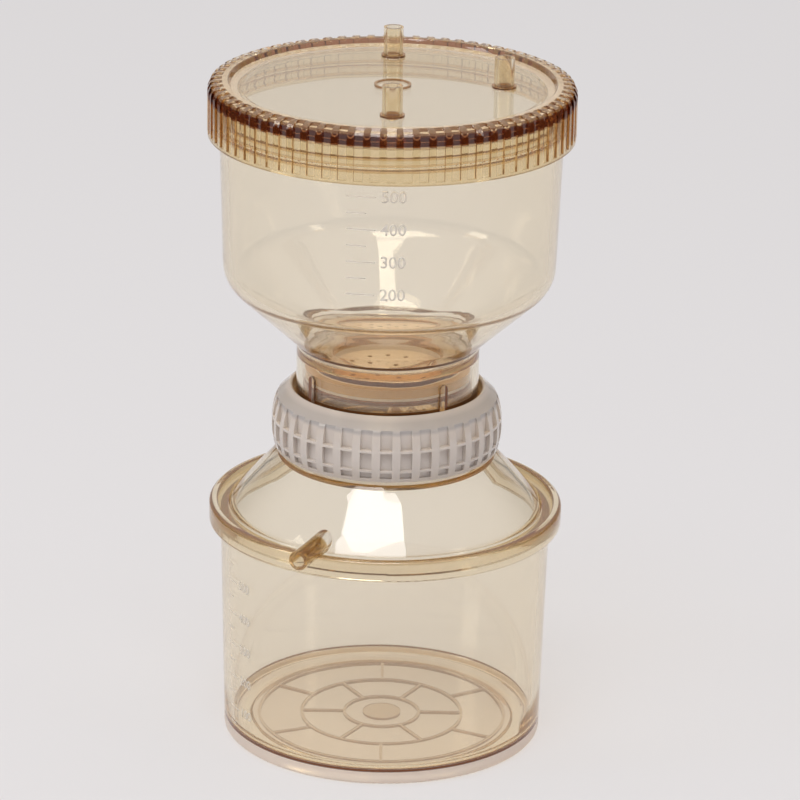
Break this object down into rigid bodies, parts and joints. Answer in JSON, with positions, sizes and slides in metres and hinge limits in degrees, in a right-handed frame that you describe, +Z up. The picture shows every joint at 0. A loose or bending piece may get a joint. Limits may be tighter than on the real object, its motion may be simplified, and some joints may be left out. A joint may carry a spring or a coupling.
{
  "type": "vacuum filtration unit",
  "caption": "Clear amber laboratory filter holder: lidded upper chamber, white locking collar and a receiver with a vacuum side arm.",
  "frame": {"origin": "centre of the receiver's foot, on the bench", "axes": "+Z up along the unit's axis, -Y to the front, where the graduations and the front hose port are; the vacuum arm points to the front and left"},
  "size_m": [0.1224, 0.1258, 0.2386],
  "materials": {
    "polysulfone": "gloss",
    "polypropylene": "satin",
    "silicone": "satin"
  },
  "bodies": {
    "receiver": {"receiver_cup": "polysulfone", "receiver_dome": "polysulfone", "lower_gasket": "silicone", "support_plate": "polysulfone", "membrane_gasket": "silicone"},
    "chamber": {"upper_chamber": "polysulfone"},
    "locking_collar": {"collar": "polypropylene"},
    "lid_seal": {"lid_gasket": "silicone"},
    "screw_lid": {"lid": "polysulfone"}
  },
  "joints": [
    {"name": "chamber_lift", "type": "slide", "parent": "receiver", "child": "chamber", "axis": [0, 0, 1], "range_m": [0, 0.0125]},
    {"name": "collar_turn", "type": "hinge", "parent": "chamber", "child": "locking_collar", "pos_m": [0, 0, 0.113], "axis": [0, 0, 1], "range_deg": [0, 900]},
    {"name": "lid_lift", "type": "slide", "parent": "chamber", "child": "lid_seal", "axis": [0, 0, 1], "range_m": [0, 0.0084]},
    {"name": "lid_turn", "type": "hinge", "parent": "lid_seal", "child": "screw_lid", "pos_m": [0, 0, 0.22], "axis": [0, 0, 1], "range_deg": [0, 720]}
  ],
  "couplings": [
    {"joint": "collar_turn", "follows": "chamber_lift", "rad_per_m": 1256.6},
    {"joint": "lid_turn", "follows": "lid_lift", "rad_per_m": 1496}
  ]
}
